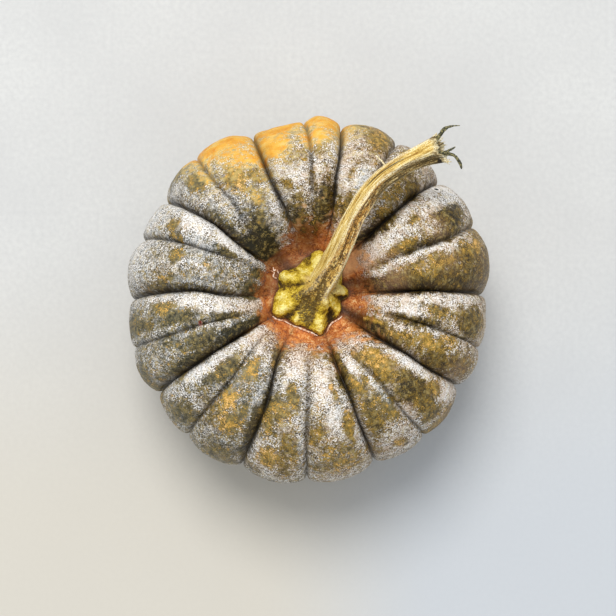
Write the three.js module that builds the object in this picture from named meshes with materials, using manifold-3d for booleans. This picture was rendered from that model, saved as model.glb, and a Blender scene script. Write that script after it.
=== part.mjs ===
// A winter squash: a low, deeply ribbed fruit and the dry, bent stalk that it was cut with.
// Millimetres, +Z up. The fruit lies on the lowest spots of its ribs, at z = 0, and +Y is the side that the
// stalk leans to.
import * as THREE from "three";
import { mergeVertices } from "three/addons/utils/BufferGeometryUtils.js";
import Module from "manifold-3d";

const wasm = await Module();
wasm.setup();

// Driving dimensions of the fruit
const FRUIT_RADIUS = 90; // of a full rib, where the fruit is widest
const FRUIT_HEIGHT = 104; // to the top of the ribs
const PIT_CENTRE = [1.2, 2.5]; // the stalk's pit is a little off the middle of the fruit
const COLUMNS_A_RIB = 6; // mesh columns from one furrow to the next
const ROWS = 37; // mesh rows from the edge of the pit's floor to the blossom end

// Half of a rib's outline, from the edge of the pit's floor to the blossom end, as shares of the fruit's
// radius and height. The lowest points are just under the ground, so that each rib gets a flat spot.
const RIB_OUTLINE = [
  [0.239, 0.75], [0.267, 0.77], [0.306, 0.832], [0.361, 0.904], [0.456, 0.971], [0.6, 1],
  [0.733, 0.976], [0.856, 0.899], [0.95, 0.769], [0.996, 0.596], [1, 0.462], [0.967, 0.308],
  [0.883, 0.154], [0.767, 0.053], [0.644, 0.002], [0.533, -0.01], [0.422, 0.005], [0.289, 0.043],
  [0.156, 0.082], [0.056, 0.091], [0, 0.091],
];

// The twenty furrows, deep and shallow by turns: the angle at the pit, on the shoulder and at the fruit's
// side, in degrees anticlockwise from +X seen from above, and the depth.
const FURROWS = [
  [-2, 0.2, 1.8, 8], [20, 20.8, 24, 4], [43.5, 43, 42, 8], [61, 60.5, 60.5, 4.5], [73.5, 77.5, 79.5, 7.5],
  [88.5, 89.5, 92, 2.5], [107, 110, 109.5, 6.5], [141, 131.5, 129, 2.5], [149, 145.5, 146, 8.5],
  [159, 159.5, 160.5, 5], [186, 180.3, 180.3, 7], [202, 198, 196, 2.5], [214, 213, 212.2, 8.5],
  [225, 229, 228.5, 3.5], [244.5, 249.5, 248.3, 7], [268.8, 269, 269.7, 5], [288.3, 290.7, 292.5, 7],
  [300.5, 307.5, 310.5, 3], [323.5, 326.8, 330, 8], [341, 343.3, 344.2, 3.5],
];
const DEEP_REACH = 0.8; // how far over the rib a deep furrow's side curves, as a share of the rib
const SHALLOW_REACH = 0.5;

// How far each rib's side stands out from the fruit's axis, the first one after the first furrow.
const RIB_RADII = [
  90.8, 90, 90, 90.5, 90.5, 86, 90, 89.5, 87.5, 89.8, 88.5, 90.3, 89.5, 90.5, 90.4, 89.4, 88, 88, 87.8, 87.5,
];

// Driving dimensions of the stalk
const SEAT_GAP = 0.3; // between the pit's floor and the stalk's foot
const PIT_FLOOR = RIB_OUTLINE[0][1] * FRUIT_HEIGHT;
const RIM_HEIGHT = 2.6; // of the foot's edge above the pit's floor
const STALK_COLUMNS = 40;
const STALK_ROWS = 24;
const STALK_RIDGES = 5;
const RIDGE_SHARE = 0.14; // of the radius, to each side of it
const FIRST_RIDGE = 204; // degrees, at the foot
const STALK_TWIST = 60; // degrees, from the foot to the cut end
const STALK_LEAN = 58; // degrees, the way that the stalk leaves its foot
const FIBRE_RADIUS = 0.5;

// The foot's lobed outline: degrees and radius from the pit's centre.
const FOOT_OUTLINE = [
  [-4, 18], [13, 15], [30, 16.6], [50, 15.6], [77, 19.8], [98, 16], [118, 13.5], [135, 15], [152, 17.3],
  [174, 15.3], [194, 18.2], [204, 20], [214, 21], [228, 17.6], [242, 17.6], [258, 17], [270, 18.6],
  [283, 20.9], [299, 17.4], [313, 17.4], [327, 17], [341, 15],
];

// The knobs on the foot: degrees and radius from the pit's centre, height and width.
const KNOBS = [
  [-4, 13, 2.6, 3.4], [27, 14.5, 1.6, 3], [77, 15.5, 2, 3.6], [117, 11, 1.4, 3], [150, 14, 2.2, 3],
  [190, 14.5, 1.8, 3], [213, 16.5, 2.8, 3.8], [242, 14.5, 1.9, 3], [283, 16.5, 2.4, 3.4], [323, 13, 2.2, 3],
];

// The stalk's middle line: x, y, height above the pit's floor, and the radius there.
const STALK_LINE = [
  [1.7, -3.1, 1, 7.4], [3.5, -0.6, 6, 6.8], [6.8, 5.1, 11.5, 6.2], [10.7, 12.1, 17.5, 5.7],
  [14.8, 20.7, 25, 5.1], [17.7, 27.4, 29.5, 4.8], [21.3, 35, 34, 4.5], [27.2, 44.4, 39, 4.3],
  [32.2, 49.8, 41.5, 4.2], [37.8, 53.9, 43.5, 4.2], [45, 58.2, 44.8, 4.4], [53, 62, 45, 5],
  [59.9, 64.7, 45, 6.2],
];

// The torn fibres that stand out of the cut end: x, y and height above the pit's floor.
const FIBRES = [
  [[57, 68, 46], [58.5, 69.3, 47], [60.6, 72.1, 49], [62.7, 73.2, 49.5], [65, 73.8, 49.8], [67.8, 74, 49.5]],
  [[57.5, 62, 44.5], [61.3, 61.9, 44.5], [65.7, 61.2, 43.5], [68.3, 58.1, 42.5], [69.2, 56.1, 42]],
  [[57.5, 62.5, 45.5], [60.8, 62.2, 46], [64.3, 63.6, 47], [65.9, 64.6, 47.5]],
];

const turn = (degrees) => (degrees * Math.PI) / 180;
const mix = (a, b, share) => a + (b - a) * share;

// 0 up to low, 1 from high on, with a soft start and end.
function ease(low, high, x) {
  const share = Math.min(Math.max((x - low) / (high - low), 0), 1);
  return share * share * (3 - 2 * share);
}

// A lathe whose points are moved: a closed geometry with place(c, r) at column c, which goes once round
// anticlockwise, and row r, counted from the top.
function shapedLathe(rows, columns, place) {
  const profile = [];
  for (let row = 0; row <= rows; row++) {
    profile.push(new THREE.Vector2(row % rows === 0 ? 0 : 1, row));
  }
  const geometry = new THREE.LatheGeometry(profile, columns);
  const position = geometry.attributes.position;
  for (let column = 0; column <= columns; column++) {
    for (let row = 0; row <= rows; row++) {
      const point = place(column % columns, row);
      position.setXYZ(column * (rows + 1) + rows - row, point.x, point.y, point.z);
    }
  }
  return geometry;
}

// The drop below the rib's top, as a share of the furrow's depth, at a share x of the rib's width from it.
// The rib's side is a quarter of an ellipse, so that the furrow is a sharp crease.
function furrowSide(x, reach) {
  const share = 1 - Math.min(x / reach, 1);
  return 1 - Math.sqrt(1 - share * share);
}

// Furrows are deepest on the fruit's shoulder and run out towards the pit's floor and the blossom end.
// s goes from 0 at the floor to 1 at the blossom end.
function deepShare(s) {
  return ease(0, 0.14, s) * (1 - 0.3 * ease(0.25, 0.5, s)) * (1 - ease(0.6, 0.98, s));
}

function shallowShare(s) {
  return ease(0.04, 0.2, s) * (1 - 0.2 * ease(0.25, 0.5, s)) * (1 - ease(0.5, 0.9, s));
}

function furrowAngle([atPit, onShoulder, atSide], s) {
  return mix(mix(atPit, onShoulder, ease(0.05, 0.2, s)), atSide, ease(0.2, 0.42, s));
}

const ribCurve = new THREE.SplineCurve(
  RIB_OUTLINE.map(([r, z]) => new THREE.Vector2(r * FRUIT_RADIUS, z * FRUIT_HEIGHT)),
);

// The fruit's surface at a rib, a share x across it and a share s down its outline.
function fruitPoint(rib, x, s) {
  const count = FURROWS.length;
  const near = FURROWS[rib];
  const far = FURROWS[(rib + 1) % count];
  const wrap = rib === count - 1 ? 360 : 0;
  const angle = turn(mix(furrowAngle(near, s), furrowAngle(far, s) + wrap, x));

  const deepFirst = rib % 2 === 0;
  const nearShare = deepFirst ? deepShare(s) : shallowShare(s);
  const farShare = deepFirst ? shallowShare(s) : deepShare(s);
  const drop =
    near[3] * nearShare * furrowSide(x, deepFirst ? DEEP_REACH : SHALLOW_REACH) +
    far[3] * farShare * furrowSide(1 - x, deepFirst ? SHALLOW_REACH : DEEP_REACH);

  const own = RIB_RADII[rib];
  const before = (own + RIB_RADII[(rib + count - 1) % count]) / 2;
  const after = (own + RIB_RADII[(rib + 1) % count]) / 2;
  const radius = own + (before - own) * (1 - ease(0, 0.4, x)) + (after - own) * ease(0.6, 1, x);
  const outward = (radius - FRUIT_RADIUS) * ease(0.15, 0.45, s) * (1 - ease(0.5, 0.8, s));

  const outline = ribCurve.getPointAt(s);
  const along = ribCurve.getTangentAt(s);
  const r = Math.max(outline.x + along.y * drop + outward, 0);
  const z = outline.y - along.x * drop;
  const lean = 1 - ease(0, 0.45, s);
  return new THREE.Vector3(
    r * Math.cos(angle) + PIT_CENTRE[0] * lean,
    r * Math.sin(angle) + PIT_CENTRE[1] * lean,
    Math.max(z, 0),
  );
}

// The fruit: one closed skin, with the pit's flat floor at the first row.
function makeFruit() {
  const columns = FURROWS.length * COLUMNS_A_RIB;
  return shapedLathe(ROWS, columns, (column, row) => {
    if (row === 0) return new THREE.Vector3(PIT_CENTRE[0], PIT_CENTRE[1], PIT_FLOOR);
    const rib = Math.floor(column / COLUMNS_A_RIB);
    const x = (1 - Math.cos((Math.PI * (column % COLUMNS_A_RIB)) / COLUMNS_A_RIB)) / 2;
    return fruitPoint(rib, x, (row - 1) / (ROWS - 1));
  });
}

// A closed list of [degrees, value] read at any angle, with a smooth curve through its points.
function aroundCurve(list) {
  const points = [];
  for (const shift of [-360, 0, 360]) {
    for (const [degrees, value] of list) points.push([degrees + shift, value]);
  }
  return (degrees) => {
    const at = ((degrees % 360) + 360) % 360;
    let next = points.findIndex(([angle]) => angle > at);
    const [a, b, c, d] = points.slice(next - 2, next + 2);
    const t = (at - b[0]) / (c[0] - b[0]);
    const rise = (c[1] - a[1]) / 2;
    const fall = (d[1] - b[1]) / 2;
    const bend = t * (1 - t) * ((1 - t) * rise - t * fall);
    return mix(b[1], c[1], ease(0, 1, t)) + bend;
  };
}

// The stalk's rings: each has a middle, a level direction across the line, another towards the ground, and a
// radius.
function stalkRings() {
  const points = STALK_LINE.map(([x, y, rise]) => new THREE.Vector3(x, y, PIT_FLOOR + rise));
  const line = new THREE.CatmullRomCurve3(points);
  const rings = [];
  for (let row = 0; row <= STALK_ROWS; row++) {
    const share = row / STALK_ROWS;
    const along = line.getTangentAt(share);
    const side = new THREE.Vector3(along.y, -along.x, 0).normalize();
    const step = line.getUtoTmapping(share) * (STALK_LINE.length - 1);
    const first = Math.min(Math.floor(step), STALK_LINE.length - 2);
    const radius = mix(STALK_LINE[first][3], STALK_LINE[first + 1][3], step - first);
    rings.push({ at: line.getPointAt(share), side, down: along.clone().cross(side), along, radius, share });
  }
  return rings;
}

// The stalk with its lobed foot: flat underneath, flared like a skirt, and ridged along its length.
function makeStalk() {
  const footRadius = aroundCurve(FOOT_OUTLINE);
  const rings = stalkRings();
  const skirtEnd = 3; // the ring where the skirt has narrowed to the stalk
  const skirtRows = 8;
  const firstRows = 2; // the cut end's middle and its hollow
  const stalkRows = STALK_ROWS - skirtEnd;
  const rows = firstRows + stalkRows + skirtRows + 2;
  const foot = new THREE.Vector3(PIT_CENTRE[0], PIT_CENTRE[1], PIT_FLOOR + SEAT_GAP);

  // degrees are those of the foot, so that a ridge runs straight on from a lobe
  const ringPoint = (ring, degrees, shrink = 1) => {
    const ridge = Math.cos(STALK_RIDGES * turn(degrees - FIRST_RIDGE - STALK_TWIST * ring.share));
    const radius = ring.radius * (1 + RIDGE_SHARE * ridge) * shrink;
    const angle = turn(degrees - STALK_LEAN + 90);
    return ring.at
      .clone()
      .addScaledVector(ring.side, radius * Math.cos(angle))
      .addScaledVector(ring.down, radius * Math.sin(angle));
  };

  // out goes from 0 at the top of the skirt to 1 at its edge
  const skirtPoint = (degrees, out) => {
    const angle = turn(degrees);
    const top = ringPoint(rings[skirtEnd], degrees);
    const edge = footRadius(degrees);
    const x = mix(top.x, foot.x + edge * Math.cos(angle), out);
    const y = mix(top.y, foot.y + edge * Math.sin(angle), out);
    let z = mix(PIT_FLOOR + RIM_HEIGHT, top.z, (1 - out) ** 2.2);
    for (const [knobAngle, knobRadius, height, width] of KNOBS) {
      const dx = x - foot.x - knobRadius * Math.cos(turn(knobAngle));
      const dy = y - foot.y - knobRadius * Math.sin(turn(knobAngle));
      z += height * Math.exp(-(dx * dx + dy * dy) / (width * width)) * ease(0, 0.3, out);
    }
    return new THREE.Vector3(x, y, z);
  };

  return shapedLathe(rows, STALK_COLUMNS, (column, row) => {
    const degrees = (360 * column) / STALK_COLUMNS;
    const angle = turn(degrees);
    const end = rings[STALK_ROWS];
    if (row === 0) return end.at.clone().addScaledVector(end.along, -1.2);
    if (row === 1) return ringPoint(end, degrees, 0.72);
    if (row < firstRows + stalkRows) {
      const ring = rings[STALK_ROWS - (row - firstRows)];
      const torn = row === firstRows ? 1.1 * Math.sin(5 * angle + 1) + 0.7 * Math.sin(11 * angle) : 0;
      return ringPoint(ring, degrees).addScaledVector(ring.along, torn);
    }
    const out = (row - firstRows - stalkRows) / skirtRows;
    if (out <= 1) return skirtPoint(degrees, out);
    if (row === rows) return foot.clone();
    const edge = footRadius(degrees) - 0.7;
    return new THREE.Vector3(foot.x + edge * Math.cos(angle), foot.y + edge * Math.sin(angle), foot.z);
  });
}

// A torn fibre: a thin strand along its points.
function makeFibre(points) {
  const line = new THREE.CatmullRomCurve3(
    points.map(([x, y, rise]) => new THREE.Vector3(x, y, PIT_FLOOR + rise)),
  );
  const section = new THREE.Shape();
  for (let corner = 0; corner < 5; corner++) {
    const angle = turn(72 * corner);
    section[corner ? "lineTo" : "moveTo"](FIBRE_RADIUS * Math.cos(angle), FIBRE_RADIUS * Math.sin(angle));
  }
  return new THREE.ExtrudeGeometry(section, { steps: 10, bevelEnabled: false, extrudePath: line });
}

function solidOf(geometry) {
  const bare = geometry.clone();
  bare.deleteAttribute("normal");
  bare.deleteAttribute("uv");
  const merged = mergeVertices(bare, 1e-4);
  return new wasm.Manifold(
    new wasm.Mesh({
      numProp: 3,
      vertProperties: merged.attributes.position.array,
      triVerts: new Uint32Array(merged.index.array),
    }),
  );
}

function geometryOf(solid) {
  const { vertProperties, triVerts } = solid.getMesh();
  const geometry = new THREE.BufferGeometry();
  geometry.setAttribute("position", new THREE.BufferAttribute(vertProperties, 3));
  geometry.setIndex(new THREE.BufferAttribute(triVerts, 1));
  geometry.computeVertexNormals();
  return geometry;
}

const rindFinish = new THREE.MeshStandardMaterial({ color: 0x9c9583, roughness: 0.75, metalness: 0 });
const stalkFinish = new THREE.MeshStandardMaterial({ color: 0xc4a45c, roughness: 0.7, metalness: 0 });

const squash = new THREE.Group();

const fruit = new THREE.Mesh(geometryOf(solidOf(makeFruit())), rindFinish);
fruit.name = "fruit";
squash.add(fruit);

let stalkSolid = solidOf(makeStalk());
for (const points of FIBRES) stalkSolid = stalkSolid.add(solidOf(makeFibre(points)));
const stalk = new THREE.Mesh(geometryOf(stalkSolid), stalkFinish);
stalk.name = "stalk";
squash.add(stalk);

export default squash;
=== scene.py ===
# A ribbed winter squash with a powdery bloom and a dry, bent stalk, lying on a pale surface.
# The scene is dressed piece by piece, in metres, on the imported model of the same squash.
import math

import bpy
import numpy as np
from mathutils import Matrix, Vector, noise


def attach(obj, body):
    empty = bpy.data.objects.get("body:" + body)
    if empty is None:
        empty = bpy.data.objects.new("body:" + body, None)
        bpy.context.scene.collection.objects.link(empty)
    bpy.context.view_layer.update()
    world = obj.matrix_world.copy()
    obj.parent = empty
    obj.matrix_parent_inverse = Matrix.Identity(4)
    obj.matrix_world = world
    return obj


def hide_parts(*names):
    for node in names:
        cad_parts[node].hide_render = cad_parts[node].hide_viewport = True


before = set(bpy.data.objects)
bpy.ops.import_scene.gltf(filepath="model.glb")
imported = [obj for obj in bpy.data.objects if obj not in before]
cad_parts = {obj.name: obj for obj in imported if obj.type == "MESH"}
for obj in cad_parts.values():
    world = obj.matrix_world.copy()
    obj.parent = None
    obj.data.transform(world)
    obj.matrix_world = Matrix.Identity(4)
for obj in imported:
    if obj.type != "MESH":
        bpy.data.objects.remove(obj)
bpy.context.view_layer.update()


# Camera
# The camera stands 0.9 m above the surface and leans 4 degrees towards the viewer. So the squash is seen
# from almost straight above, and the fruit lies a little above the middle of the picture.
CAMERA_LEAN = math.radians(4)
CAMERA_REACH = 0.852
TURNING_POINT = Vector((0, 0, 0.048))
LOOKED_AT = Vector((-0.00025, -0.00345, 0.048))
SENSOR_WIDTH = 36
PICTURE_WIDTH = 616
FOCAL_LENGTH_IN_PIXELS = 1728

camera = bpy.data.objects.new("camera", bpy.data.cameras.new("camera"))
bpy.context.scene.collection.objects.link(camera)
away = Vector((0, -math.sin(CAMERA_LEAN), math.cos(CAMERA_LEAN)))
camera.location = TURNING_POINT + CAMERA_REACH * away
camera.rotation_euler = (LOOKED_AT - camera.location).to_track_quat("-Z", "Y").to_euler()
camera.data.sensor_width = SENSOR_WIDTH
camera.data.lens = SENSOR_WIDTH * FOCAL_LENGTH_IN_PIXELS / PICTURE_WIDTH
bpy.context.scene.camera = camera


# The surface and the light
# A pale, smooth tabletop that is nearly white, a little warmer at the near left and cooler at the near
# right. One large soft window light from the far side and an even white room light it, so the shadow falls
# to the near side.
WINDOW_PLACE = Vector((-0.3, 1.07, 2.4))
WINDOW_AIM = Vector((0, 0, 0.04))
WINDOW_SIZE = 1.3
WINDOW_POWER = 55
ROOM_STRENGTH = 0.75
TABLETOP_SIZE = 8


def colour(red, green, blue):
    """Screen values from 0 to 255 as the linear colour that Blender mixes with."""
    screen = np.array([red, green, blue]) / 255
    linear = np.where(screen <= 0.04045, screen / 12.92, ((screen + 0.055) / 1.055) ** 2.4)
    return (*linear.tolist(), 1.0)


def new_material(name):
    material = bpy.data.materials.new(name)
    material.use_nodes = True
    return material, material.node_tree, material.node_tree.nodes["Principled BSDF"]


def part(kind, inputs=None, **settings):
    """A new node in the tree being built, with its settings and a value or a link for each input."""
    made = tree.nodes.new(kind)
    for name, value in settings.items():
        setattr(made, name, value)
    for name, value in (inputs or {}).items():
        if isinstance(value, bpy.types.NodeSocket):
            tree.links.new(value, made.inputs[name])
        else:
            made.inputs[name].default_value = value
    return made


def calc(operation, *inputs):
    return part("ShaderNodeMath", dict(enumerate(inputs)), operation=operation).outputs["Value"]


def soft_step(value, low, high, to_low=0.0, to_high=1.0):
    inputs = {"Value": value, "From Min": low, "From Max": high, "To Min": to_low, "To Max": to_high}
    return part("ShaderNodeMapRange", inputs, interpolation_type="SMOOTHSTEP").outputs["Result"]


def lumps_of(vector, size, detail=2.0, roughness=0.5):
    inputs = {"Vector": vector, "Scale": 1 / size, "Detail": detail, "Roughness": roughness}
    return part("ShaderNodeTexNoise", inputs).outputs["Fac"]


def blend(share, first, second):
    """The second colour over the first, by its share. Each one is a link or three screen values."""
    first, second = (colour(*shade) if isinstance(shade, tuple) else shade for shade in (first, second))
    inputs = {0: share, 6: first, 7: second}
    return part("ShaderNodeMix", inputs, data_type="RGBA", clamp_factor=True).outputs[2]


def colour_steps(value, steps):
    """A colour for each value, read between (value, colour) steps."""
    made = part("ShaderNodeValToRGB", {"Fac": value})
    ramp = made.color_ramp
    ramp.elements[0].position, ramp.elements[0].color = steps[0][0], colour(*steps[0][1])
    ramp.elements[1].position, ramp.elements[1].color = steps[-1][0], colour(*steps[-1][1])
    for at, shade in steps[1:-1]:
        ramp.elements.new(at).color = colour(*shade)
    return made.outputs["Color"]


tabletop_paint, tree, shader = new_material("tabletop_paint")
place = part("ShaderNodeTexCoord").outputs["Object"]
cloud = lumps_of(place, 1 / 14, 5.0)
grit = lumps_of(place, 1 / 420, 3.0)
pale = colour_steps(calc("MULTIPLY", cloud, grit), [(0.1, (190, 190, 189)), (0.42, (201, 201, 199))])
across_top = part("ShaderNodeSeparateXYZ", {0: place})
to_the_near_side = soft_step(across_top.outputs["Y"], 0.05, -0.12, 0.0, 0.8)
to_the_right = soft_step(across_top.outputs["X"], -0.03, 0.07)
tinge = blend(to_the_right, (197, 191, 178), (184, 189, 195))
tree.links.new(blend(to_the_near_side, pale, tinge), shader.inputs["Base Color"])
shader.inputs["Roughness"].default_value = 0.75

bpy.ops.mesh.primitive_plane_add(size=TABLETOP_SIZE, location=(0, 0, 0))
tabletop = bpy.context.object
tabletop.name = "tabletop"
tabletop.data.materials.append(tabletop_paint)

window = bpy.data.objects.new("window", bpy.data.lights.new("window", "AREA"))
bpy.context.scene.collection.objects.link(window)
window.location = WINDOW_PLACE
window.rotation_euler = (WINDOW_AIM - WINDOW_PLACE).to_track_quat("-Z", "Y").to_euler()
window.data.shape = "DISK"
window.data.size = WINDOW_SIZE
window.data.energy = WINDOW_POWER
window.data.color = (1.0, 0.985, 0.96)

room = bpy.data.worlds.new("room")
bpy.context.scene.world = room
room.use_nodes = True
room.node_tree.nodes["Background"].inputs["Color"].default_value = (0.93, 0.965, 1.0, 1)
room.node_tree.nodes["Background"].inputs["Strength"].default_value = ROOM_STRENGTH
bpy.context.scene.view_settings.view_transform = "Standard"


# The fruit
# One grown body: a thick rind over flesh, with ten deep and ten shallow furrows that run from the stalk's
# pit to the blossom end. It lies on the lowest spots of its ribs.
FRUIT_RADIUS = 0.090
FRUIT_HEIGHT = 0.104
PIT_CENTRE = (0.0012, 0.0025)
RIB_LENGTH = 240
COLUMNS_A_RIB = 24
FLOOR_RINGS = [0.25, 0.5, 0.66, *np.arange(0.72, 0.99, 0.02)]
RIB_ROWS = 176
SMOOTHING_PASSES = 30
DEEP_REACH = 0.8
SHALLOW_REACH = 0.5
CRACK_DEPTH = 0.0016

# Half of a rib's outline, from the edge of the pit's floor to the blossom end, as shares of the fruit's
# radius and height.
RIB_OUTLINE = [
    (0.239, 0.75), (0.267, 0.77), (0.306, 0.832), (0.361, 0.904), (0.456, 0.971), (0.6, 1),
    (0.733, 0.976), (0.856, 0.899), (0.95, 0.769), (0.996, 0.596), (1, 0.462), (0.967, 0.308),
    (0.883, 0.154), (0.767, 0.053), (0.644, 0.002), (0.533, -0.01), (0.422, 0.005), (0.289, 0.043),
    (0.156, 0.082), (0.056, 0.091), (0, 0.091),
]

# The furrows: degrees at the pit, on the shoulder and at the side, and depth in millimetres.
FURROWS = [
    (-2, 0.2, 1.8, 8), (20, 20.8, 24, 4), (43.5, 43, 42, 8), (61, 60.5, 60.5, 4.5), (73.5, 77.5, 79.5, 7.5),
    (88.5, 89.5, 92, 2.5), (107, 110, 109.5, 6.5), (141, 131.5, 129, 2.5), (149, 145.5, 146, 8.5),
    (159, 159.5, 160.5, 5), (186, 180.3, 180.3, 7), (202, 198, 196, 2.5), (214, 213, 212.2, 8.5),
    (225, 229, 228.5, 3.5), (244.5, 249.5, 248.3, 7), (268.8, 269, 269.7, 5), (288.3, 290.7, 292.5, 7),
    (300.5, 307.5, 310.5, 3), (323.5, 326.8, 330, 8), (341, 343.3, 344.2, 3.5),
]

# How far each rib's side stands out from the fruit's axis, in millimetres.
RIB_RADII = [
    90.8, 90, 90, 90.5, 90.5, 86, 90, 89.5, 87.5, 89.8,
    88.5, 90.3, 89.5, 90.5, 90.4, 89.4, 88, 88, 87.8, 87.5,
]


def ease(low, high, x):
    share = np.clip((x - low) / (high - low), 0, 1)
    return share * share * (3 - 2 * share)


def hump(x, width, power=2):
    """1 where x is zero, and less the farther x is from it."""
    return np.exp(-np.abs(x / width) ** power)


def points_of(*coordinates):
    return np.stack(np.broadcast_arrays(*coordinates), axis=-1)


def unit(vectors):
    return vectors / np.maximum(np.linalg.norm(vectors, axis=-1, keepdims=True), 1e-9)


def reach_of(line):
    """How far along a line each of its points lies."""
    return np.concatenate([[0], np.cumsum(np.linalg.norm(np.diff(line, axis=0), axis=1))])


def smooth_line(points, steps, axes=2):
    """Points close together on a smooth curve through the given ones, and each one's share of it."""
    points = np.array(points, float)
    padded = np.vstack([2 * points[0] - points[1], points, 2 * points[-1] - points[-2]])
    at = np.linspace(0, len(points) - 1, steps)
    first = np.minimum(at.astype(int), len(points) - 2)
    t = (at - first)[:, None]
    before, start, end, after = (padded[first + k] for k in range(4))
    leaving = (end - before) / 2
    arriving = (after - start) / 2
    line = (2 * start - 2 * end + leaving + arriving) * t**3
    line += (3 * end - 3 * start - 2 * leaving - arriving) * t**2 + leaving * t + start
    reach = reach_of(line[:, :axes])
    return line, reach / reach[-1]


def along_line(line, reach, share):
    return np.stack([np.interp(share, reach, line[:, k]) for k in range(line.shape[1])], axis=-1)


def wobble(points, size, seed=0):
    """Smooth random values from about -1 to 1 at the points, with lumps of the given size."""
    flat = (points.reshape(-1, 3) / size + 17.3 * seed).tolist()
    return np.array([noise.noise(p) for p in flat]).reshape(points.shape[:-1])


def degrees_apart(first, second):
    return np.mod(first - second + 180, 360) - 180


def deep_share(s):
    return ease(0, 0.14, s) * (1 - 0.3 * ease(0.25, 0.5, s)) * (1 - ease(0.6, 0.98, s))


def shallow_share(s):
    return ease(0.04, 0.2, s) * (1 - 0.2 * ease(0.25, 0.5, s)) * (1 - ease(0.5, 0.9, s))


def furrow_side(x, reach):
    share = 1 - np.minimum(x / reach, 1)
    return 1 - np.sqrt(1 - share * share)


def furrow_angle(furrow, s):
    at_pit, on_shoulder, at_side = (furrow[..., k] for k in range(3))
    upper = at_pit + (on_shoulder - at_pit) * ease(0.05, 0.2, s)
    return upper + (at_side - upper) * ease(0.2, 0.42, s)


# Columns stand closer near the furrows. x is the share across a rib, and s the share down its outline.
ribs = len(FURROWS)
step = np.arange(COLUMNS_A_RIB) / COLUMNS_A_RIB
across = 0.45 * step + 0.55 * (1 - np.cos(math.pi * step)) / 2
rib = np.repeat(np.arange(ribs), COLUMNS_A_RIB)
x = np.tile(across, ribs)
s = np.linspace(0, 1, RIB_ROWS + 1)[:, None]

furrows = np.array(FURROWS, float)
near = furrows[rib]
far = furrows[(rib + 1) % ribs]
far[rib == ribs - 1, :3] += 360
angle = np.radians(furrow_angle(near, s) * (1 - x) + furrow_angle(far, s) * x)

deep_first = rib % 2 == 0
near_fall = furrow_side(x, np.where(deep_first, DEEP_REACH, SHALLOW_REACH))
far_fall = furrow_side(1 - x, np.where(deep_first, SHALLOW_REACH, DEEP_REACH))
drop = near[:, 3] * np.where(deep_first, deep_share(s), shallow_share(s)) * near_fall
drop = 0.001 * (drop + far[:, 3] * np.where(deep_first, shallow_share(s), deep_share(s)) * far_fall)

from_furrow = np.minimum(x, 1 - x)
by_deep_furrow = deep_first == (x < 0.5)
crack = np.where(by_deep_furrow, deep_share(s), 0.7 * shallow_share(s)) * hump(from_furrow, 0.03, 1)
drop = drop + CRACK_DEPTH * crack

own = np.array(RIB_RADII)[rib] / 1000
before = (own + np.array(RIB_RADII)[rib - 1] / 1000) / 2
after = (own + np.array(RIB_RADII)[(rib + 1) % ribs] / 1000) / 2
side = own + (before - own) * (1 - ease(0, 0.4, x)) + (after - own) * ease(0.6, 1, x)
outward = (side - FRUIT_RADIUS) * ease(0.15, 0.45, s) * (1 - ease(0.5, 0.8, s))

outline, outline_reach = smooth_line(np.array(RIB_OUTLINE) * (FRUIT_RADIUS, FRUIT_HEIGHT), 4000)
at_outline = along_line(outline, outline_reach, s[:, 0])
tangent = along_line(outline, outline_reach, np.minimum(s[:, 0] + 0.001, 1))
tangent = unit(tangent - along_line(outline, outline_reach, np.maximum(s[:, 0] - 0.001, 0)))
radius = np.maximum(at_outline[:, :1] + tangent[:, 1:] * drop + outward, 0)
lean = 1 - ease(0, 0.45, s)
skin = points_of(
    radius * np.cos(angle) + PIT_CENTRE[0] * lean,
    radius * np.sin(angle) + PIT_CENTRE[1] * lean,
    at_outline[:, 1:] - tangent[:, :1] * drop,
)

# Growth gives the skin low lumps and long wrinkles down the ribs. The mesh is moved along its own normals.
# The marks are laid out by growth too: millimetres round the fruit and down its ribs.
girth = 1000 * np.maximum.accumulate(at_outline[:, :1])
growth = points_of(girth * np.cos(angle), girth * np.sin(angle), RIB_LENGTH * s)
round_the_fruit = np.roll(skin, -1, axis=1) - np.roll(skin, 1, axis=1)
normal = unit(np.cross(np.gradient(skin, axis=0), round_the_fruit))
lumps = 0.42 * wobble(skin, 0.017, 1) + 0.2 * wobble(skin, 0.0065, 2)
wrinkles = 0.13 * wobble(growth * (1, 1, 0.16), 2.6, 3) + 0.06 * wobble(growth * (1, 1, 0.5), 1.5, 4)
calm = ease(0.01, 0.06, s) * (1 - ease(0.9, 1, s))
skin = skin + normal * ((lumps + wrinkles - 0.2) * 0.001 * calm)[..., None]
skin[..., 2] = np.maximum(skin[..., 2], 0)

# The pit's floor: rings from the middle to the first row of the ribs. It rounds up into the pit's wall,
# and the ribs run out on it as low swellings.
floor_edge = skin[0]
middle = np.array([*PIT_CENTRE, RIB_OUTLINE[0][1] * FRUIT_HEIGHT])
floor_share = np.array(FLOOR_RINGS)[:, None, None]
rows = np.concatenate([middle + (floor_edge - middle) * floor_share, skin[:-1]])
first, last = len(FLOOR_RINGS) - 9, len(FLOOR_RINGS) + 5
for _ in range(SMOOTHING_PASSES):
    rows[first:last] = (rows[first - 1:last - 1] + 2 * rows[first:last] + rows[first + 1:last + 1]) / 4


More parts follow.
